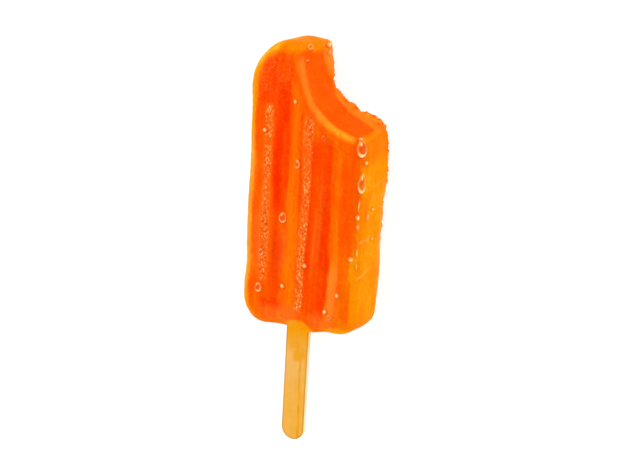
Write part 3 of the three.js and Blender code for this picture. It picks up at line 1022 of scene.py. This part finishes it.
def makeDrop(spot, wide, long, high, bright, bead=0, taper=dropShape["taper"], litFrom=1):
    # a squashed ball half sunk in the ice, narrower towards the tip; a bead lights up whole
    bpy.ops.mesh.primitive_uv_sphere_add(
        segments=dropShape["segments"], ring_count=dropShape["rings"], radius=1, location=(0, 0, 0))
    drop = bpy.context.active_object
    _, middle, outward, _ = ice.closest_point_on_mesh(at(*spot))
    upward = Vector((0, 1, 0)) if abs(outward.y) < dropShape["steep"] else Vector((0, 0, 1))
    across = upward.cross(outward).normalized()
    upward = outward.cross(across)
    glows, spots = [], []
    for corner in drop.data.vertices:
        x, y, z = corner.co
        narrow = 1 - taper * max(y, 0)
        flat = middle + (across * x * narrow * wide / 2 + upward * y * long / 2) * mm
        _, under, _, underFace = ice.closest_point_on_mesh(flat)
        corner.co = under + outward * z * high * mm
        glows.append(iceGlow[underFace])
        spots.append((x * litFrom, y, bright))
    giveAttribute(drop, "glow", np.array(glows))
    giveAttribute(drop, "bead", np.full(len(glows), bead))
    spotPlaces = drop.data.attributes.new("dropPlace", "FLOAT_VECTOR", "POINT")
    spotPlaces.data.foreach_set("vector", np.array(spots).ravel())
    return drop


# melt water: shares of light, grains in mm, lengths in half widths of a drop, and colours, two where
# they differ over deep red ice and over lit ice
waterLook = {
    "deeper": 0.05, "uneven": 0.4, "unevenGrain": 0.8, "low": (0, -0.75), "lowAcross": -0.3,
    "light": 0.15, "lightIfBright": 0.75, "dark": 0.35, "darkIfBright": 0.2, "darkColour": "#C9480A",
    "outer": (0.84, 0.97), "outerY": (0.3, -0.4), "inner": (0.7, 0.4), "upperLeft": (-0.5, 0.4),
    "ring": 0.43, "ringIfBright": 0.2, "ringLow": -0.11, "ringStart": (0, 0.14), "ringEnd": (0.96, 0.86),
    "ringColours": ("#FFA654", "#FFC65E"), "ringBelow": "#FFE9A4",
    "brokenGrain": 1.3, "whole": (0.5, 0.62), "wholeIfBright": 0.5,
    "sides": (0.68, 0.3), "sidesY": 0.08, "sidesFade": -0.58,
    "glintX": -0.3, "glintY": 0.5, "glint": 0.08, "beadGlint": 0.6,
    "glintEdge": (0.34, 0.02), "glintColour": "#FFED9C",
    "haloEdge": (1.1, 0.4), "haloColours": ("#FF9A5A", "#FFBE54"),
}


def readDrop(tree):
    # the values that each drop carries: where on it, how bright, the ice below it, and if it is a bead
    parts = addNode(tree, "ShaderNodeSeparateXYZ", links={0: attribute(tree, "dropPlace", "Vector")})
    x, y, bright = parts.outputs
    glow, bead = attribute(tree, "glow"), attribute(tree, "bead")
    return SimpleNamespace(
        x=x, y=y, bright=bright, glow=glow, bead=bead, ringed=minus(tree, 1, bead),
        away=distance(tree, x, y),
        low=between(tree, scaled(tree, x, waterLook["lowAcross"], y), waterLook["low"]),
        light=scaled(tree, bright, waterLook["lightIfBright"], waterLook["light"]))


def darkEdgesOver(tree, drop, under):
    # a dark outer edge below and a dark inner edge above, where the drop bends the light away
    lower = between(tree, drop.y, waterLook["outerY"])
    outer = product(tree, between(tree, drop.away, waterLook["outer"]), lower)
    upperLeft = between(tree, minus(tree, drop.y, drop.x), waterLook["upperLeft"])
    inner = product(tree, between(tree, drop.away, waterLook["inner"]), upperLeft, drop.ringed)
    darkest = scaled(tree, drop.bright, waterLook["darkIfBright"], waterLook["dark"])
    share = product(tree, maths(tree, "MAXIMUM", outer, inner), darkest)
    return mixColours(tree, share, under, waterLook["darkColour"])


def ringOver(tree, drop, place, uneven, under):
    # a ring of light, wider below: broken up on a dull drop, and faded at the sides of a bright one
    thinner = scaled(tree, drop.bright, waterLook["ringIfBright"], waterLook["ring"])
    ringFrom = minus(tree, scaled(tree, drop.low, waterLook["ringLow"], thinner), uneven)
    pastFrom = between(tree, minus(tree, drop.away, ringFrom), waterLook["ringStart"])
    patches = noiseAt(tree, place, waterLook["brokenGrain"])
    filled = scaled(tree, drop.bright, waterLook["wholeIfBright"], patches)
    whole = between(tree, filled, waterLook["whole"])
    offSides = maths(tree, "ABSOLUTE", minus(tree, drop.y, waterLook["sidesY"]))
    sides = product(tree, between(tree, offSides, waterLook["sides"]), drop.bright, drop.bright)
    faded = scaled(tree, sides, waterLook["sidesFade"], 1)
    ring = product(tree, pastFrom, between(tree, drop.away, waterLook["ringEnd"]))
    share = product(tree, ring, drop.light, drop.ringed, whole, faded)
    pale = mixColours(tree, drop.glow, *waterLook["ringColours"])
    lit = mixColours(tree, product(tree, drop.low, drop.bright), pale, waterLook["ringBelow"])
    return mixColours(tree, share, under, lit)


def glintOver(tree, drop, under):
    # a glint with a halo, high on the left of a ringed drop and in the middle of a bead
    x = scaled(tree, drop.ringed, -waterLook["glintX"], drop.x)
    y = scaled(tree, drop.ringed, -waterLook["glintY"], drop.y)
    reach = scaled(tree, drop.bead, waterLook["beadGlint"], waterLook["glint"])
    away = maths(tree, "DIVIDE", squareSum(tree, x, y), reach)
    halo = product(tree, between(tree, away, waterLook["haloEdge"]), drop.light)
    haloed = mixColours(tree, halo, under, mixColours(tree, drop.glow, *waterLook["haloColours"]))
    glint = product(tree, between(tree, away, waterLook["glintEdge"]), drop.bright)
    return mixColours(tree, glint, haloed, waterLook["glintColour"])


def meltWater():
    # clear melt water: shows the ice below it, gathers light at its rim and most in its lower edge
    material, tree = newMaterial("meltWater")
    place, drop = objectPlace(tree), readDrop(tree)
    patches = noiseAt(tree, place, waterLook["unevenGrain"])
    uneven = scaled(tree, patches, waterLook["uneven"], -waterLook["uneven"] / 2)
    below = total(tree, minus(tree, drop.glow, waterLook["deeper"]), uneven)
    inside = colourRamp(tree, below, juiceStops)
    ringed = ringOver(tree, drop, place, uneven, darkEdgesOver(tree, drop, inside))
    finish = {"Roughness": 0.06, "IOR": 1.33, "Specular IOR Level": 0.2}
    addFinish(tree, finish, glintOver(tree, drop, ringed))
    return material


def glowByFace(piece):
    values = np.empty(len(piece.data.vertices))
    piece.data.attributes["glow"].data.foreach_get("value", values)
    return [values[list(face.vertices)].mean() for face in piece.data.polygons]


def sprinkle():
    chance = random.Random(sideDrops["seed"])
    for _ in range(sideDrops["count"]):
        size = chance.uniform(*sideDrops["wide"])
        along, depth = chance.uniform(*sideDrops["along"]), chance.uniform(*sideDrops["depth"])
        longer, bright = chance.uniform(*sideDrops["longer"]), chance.uniform(*sideDrops["bright"])
        yield {
            "spot": (-halfWidth, along, depth), "wide": size, "long": size * longer,
            "high": size * sideDrops["high"], "bright": bright,
            "bead": 1 if size < sideDrops["beadUnder"] else 0,
        }


def makeDrops():
    made = [makeDrop(**drop) for drop in dropSpots + list(sprinkle())]
    bpy.ops.object.select_all(action="DESELECT")
    for drop in made:
        drop.select_set(True)
    bpy.context.view_layer.objects.active = made[0]
    bpy.ops.object.join()
    drops = bpy.context.active_object
    drops.name = "meltDrops"
    bpy.ops.object.shade_smooth()
    drops.data.materials.append(meltWater())
    return drops


iceGlow = glowByFace(ice)
drops = makeDrops()
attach(drops, "root")
print("drops", len(dropSpots) + sideDrops["count"])

# the stick keeps its own mesh, with birch on it; its marks are placed in mm from the middle of the
# base of the ice, along the stick (y) and across it (x), and each has how much it shows
stickMarks = {
    "grain": 0.7, "grainScale": (1, 0.05, 1), "grainShare": 0.45, "mottleGrain": 4, "sway": 6,
    "relief": 0.1, "reliefStrength": 0.3,
    "woodColours": [(0.3, "#EFA936"), (0.5, "#F2B146"), (0.7, "#F5B954")],
    "stainY": (-12, -3), "brighterNearIceY": (-6, 0), "stainColours": ("#FAAE04", "#FFBC08"),
    "dried": 0.36, "driedFromY": (-9, -15), "driedToY": (-31, -21), "driedX": (0.5, -5),
    "driedColour": "#F4C27C",
    "patch": 0.85, "patchX": -3.6, "patchY": -12.5, "patchReach": (3.4, 1.8), "patchSquash": 0.7,
    "patchColour": "#EFA416",
    "lineX": -2.2, "lineLean": 0.018, "lineShift": 0.4,
    "band": 0.55, "bandWidth": (1.0, 0.4), "bandY": (-21, -24), "bandColour": "#F8A914",
    "line": 0.8, "lineWidth": (0.55, 0.25), "lineY": (-13, -16), "lineColour": "#DE9412",
    "dashGrain": 0.35, "dashes": (0.45, 0.53),
    "outlineDark": 0.7, "outlineDarkIn": (0.8, 0.3), "outlineDarkColour": "#C28428",
    "litEdgeTurn": (0.75, 0.4), "litEdgeColours": ("#FEE8BC", "#FBDC86"),
}


def readStick(tree, place):
    # where on the stick, in mm, and its grain
    parts = addNode(tree, "ShaderNodeSeparateXYZ", links={0: place})
    lengthwise = stretched(tree, place, stickMarks["grainScale"])
    mottle = noiseAt(tree, place, stickMarks["mottleGrain"])
    return SimpleNamespace(
        along=maths(tree, "DIVIDE", minus(tree, parts.outputs["Y"], iceOrigin.y), mm),
        across=maths(tree, "DIVIDE", minus(tree, parts.outputs["X"], iceOrigin.x), mm),
        lengthwise=lengthwise, grain=noiseAt(tree, lengthwise, stickMarks["grain"], 4), mottle=mottle,
        sway=scaled(tree, mottle, stickMarks["sway"], -stickMarks["sway"] / 2))


def stickSpan(tree, value, name):
    return between(tree, value, stickMarks[name])


def dryWood(tree, spot):
    # drier and paler along its middle, most of all on one side
    grain = product(tree, spot.grain, stickMarks["grainShare"])
    tan = total(tree, grain, product(tree, spot.mottle, 1 - stickMarks["grainShare"]))
    wood = colourRamp(tree, tan, stickMarks["woodColours"])
    fromY, toY = stickSpan(tree, spot.along, "driedFromY"), stickSpan(tree, spot.along, "driedToY")
    dried = product(tree, fromY, toY, stickSpan(tree, spot.across, "driedX"), stickMarks["dried"])
    return mixColours(tree, dried, wood, stickMarks["driedColour"])


def patchOver(tree, spot, under):
    # a darker patch beside the stain
    x = minus(tree, spot.across, stickMarks["patchX"])
    y = product(tree, minus(tree, spot.along, stickMarks["patchY"]), stickMarks["patchSquash"])
    away = total(tree, distance(tree, x, y), spot.sway)
    share = product(tree, stickSpan(tree, away, "patchReach"), stickMarks["patch"])
    return mixColours(tree, share, under, stickMarks["patchColour"])


def lineOver(tree, spot, under):
    # a dark broken line along the grain, in a yellower band
    lean = scaled(tree, spot.along, stickMarks["lineLean"], stickMarks["lineShift"])
    offLine = maths(tree, "ABSOLUTE", total(tree, minus(tree, spot.across, stickMarks["lineX"]), lean))
    besideLine = stickSpan(tree, offLine, "bandWidth")
    band = product(tree, besideLine, stickSpan(tree, spot.along, "bandY"), stickMarks["band"])
    dashes = stickSpan(tree, noiseAt(tree, spot.lengthwise, stickMarks["dashGrain"], 1), "dashes")
    onLine = product(tree, stickSpan(tree, offLine, "lineWidth"), dashes)
    line = product(tree, onLine, stickSpan(tree, spot.along, "lineY"), stickMarks["line"])
    banded = mixColours(tree, band, under, stickMarks["bandColour"])
    return mixColours(tree, line, banded, stickMarks["lineColour"])


def darkOutlineOver(tree, spot, under):
    # darker along its outline, also round its end
    half = stickSize["width"] / 2
    offAxis = minus(tree, spot.across, stickSize["x"])
    pastRound = maths(tree, "MINIMUM", minus(tree, spot.along, half - stickSize["out"]), 0)
    away = distance(tree, offAxis, pastRound)
    inner, outer = stickMarks["outlineDarkIn"]
    nearOutline = between(tree, away, (half - inner, half - outer))
    darkened = product(tree, nearOutline, stickMarks["outlineDark"])
    return mixColours(tree, darkened, under, stickMarks["outlineDarkColour"])


def birch():
    # sanded uncoated birch, cut along the grain, soaked yellow by juice at the ice and painted brighter
    # right by it, with painted light on its narrow sides
    material, tree = newMaterial("sandedBirch")
    spot = readStick(tree, objectPlace(tree))
    wet = stickSpan(tree, total(tree, spot.along, spot.sway), "stainY")
    # the juice stain, painted brighter next to the ice against the shade that falls there
    stainBrighterNearIce = mixColours(tree, stickSpan(tree, spot.along, "brighterNearIceY"), *stickMarks["stainColours"])
    stained = mixColours(tree, wet, dryWood(tree, spot), stainBrighterNearIce)
    face = darkOutlineOver(tree, spot, lineOver(tree, spot, patchOver(tree, spot, stained)))
    # painted light: its narrow sides, which face sideways, are paler
    normal = addNode(tree, "ShaderNodeNewGeometry").outputs["Normal"]
    facing = addNode(tree, "ShaderNodeSeparateXYZ", links={0: normal}).outputs["Z"]
    onLitEdge = stickSpan(tree, maths(tree, "ABSOLUTE", facing), "litEdgeTurn")
    colour = mixColours(tree, onLitEdge, face, mixColours(tree, wet, *stickMarks["litEdgeColours"]))
    relief = {"Strength": stickMarks["reliefStrength"], "Distance": stickMarks["relief"] * mm}
    addFinish(tree, {"Roughness": 0.6, "Specular IOR Level": 0.02}, colour, relief, spot.grain)
    return material


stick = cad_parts["stick"]
stick.data.materials.clear()
stick.data.materials.append(birch())
print("stick")

# the floor, the light and the camera
studio = {
    "floor": 3, "floorColour": "#969694", "floorGlow": 0.82, "world": 0.94,
    "keyPower": 1.1, "keySize": 0.5, "keyFrom": (-0.5, 0.6, 0.75), "keyAway": 0.8,
}


def makeFloor():
    bpy.ops.mesh.primitive_plane_add(size=studio["floor"], location=(0, 0, 0))
    floor = bpy.context.active_object
    floor.name = "floor"
    material, tree = newMaterial("litWhiteAcrylic")  # a light table
    addFinish(tree, {
        "Base Color": linear(studio["floorColour"]), "Roughness": 0.9,
        "Emission Color": (1, 1, 1, 1), "Emission Strength": studio["floorGlow"],
    })
    floor.data.materials.append(material)


def makeLights():
    world = bpy.data.worlds.new("studio")
    bpy.context.scene.world = world
    world.use_nodes = True
    world.node_tree.nodes["Background"].inputs["Color"].default_value = (1, 1, 1, 1)
    world.node_tree.nodes["Background"].inputs["Strength"].default_value = studio["world"]
    away = Vector(studio["keyFrom"]).normalized()
    middle = at(0, iceBlock["length"] / 2, 0)
    bpy.ops.object.light_add(type="AREA", location=middle + away * studio["keyAway"])
    key = bpy.context.active_object
    key.data.energy = studio["keyPower"]
    key.data.size = studio["keySize"]
    key.rotation_euler = away.to_track_quat("Z", "Y").to_euler()


view = {
    "azimuth": 27.4, "elevation": 13.4, "roll": 3.2, "distance": 600, "pixelsPerMm": 2.737,
    "imageWidth": 632, "imageHeight": 474, "middleAtX": 316.7, "middleAtY": 184.7,
}


def makeCamera():
    side, above = radians(view["azimuth"]), radians(view["elevation"])
    back = Vector((sin(side) * cos(above), sin(above), cos(side) * cos(above)))
    right = Vector((cos(side), 0, -sin(side)))
    turn = Matrix((right, back.cross(right), back)).transposed()
    focal = view["distance"] * view["pixelsPerMm"]
    down = atan((view["imageHeight"] / 2 - view["middleAtY"]) / focal)
    leftward = atan((view["middleAtX"] - view["imageWidth"] / 2) / focal)
    rolled = Matrix.Rotation(radians(view["roll"]), 3, "Z")
    turn = turn @ rolled @ Matrix.Rotation(leftward, 3, "Y") @ Matrix.Rotation(-down, 3, "X")
    place = at(0, iceBlock["length"] / 2, 0) + back * view["distance"] * mm
    bpy.ops.object.camera_add(location=place, rotation=turn.to_euler())
    camera = bpy.context.active_object
    camera.data.lens = camera.data.sensor_width * focal / view["imageWidth"]
    camera.data.clip_start = 0.01
    bpy.context.scene.camera = camera


makeFloor()
makeLights()
makeCamera()
bpy.context.scene.view_settings.view_transform = "Standard"
print("studio")
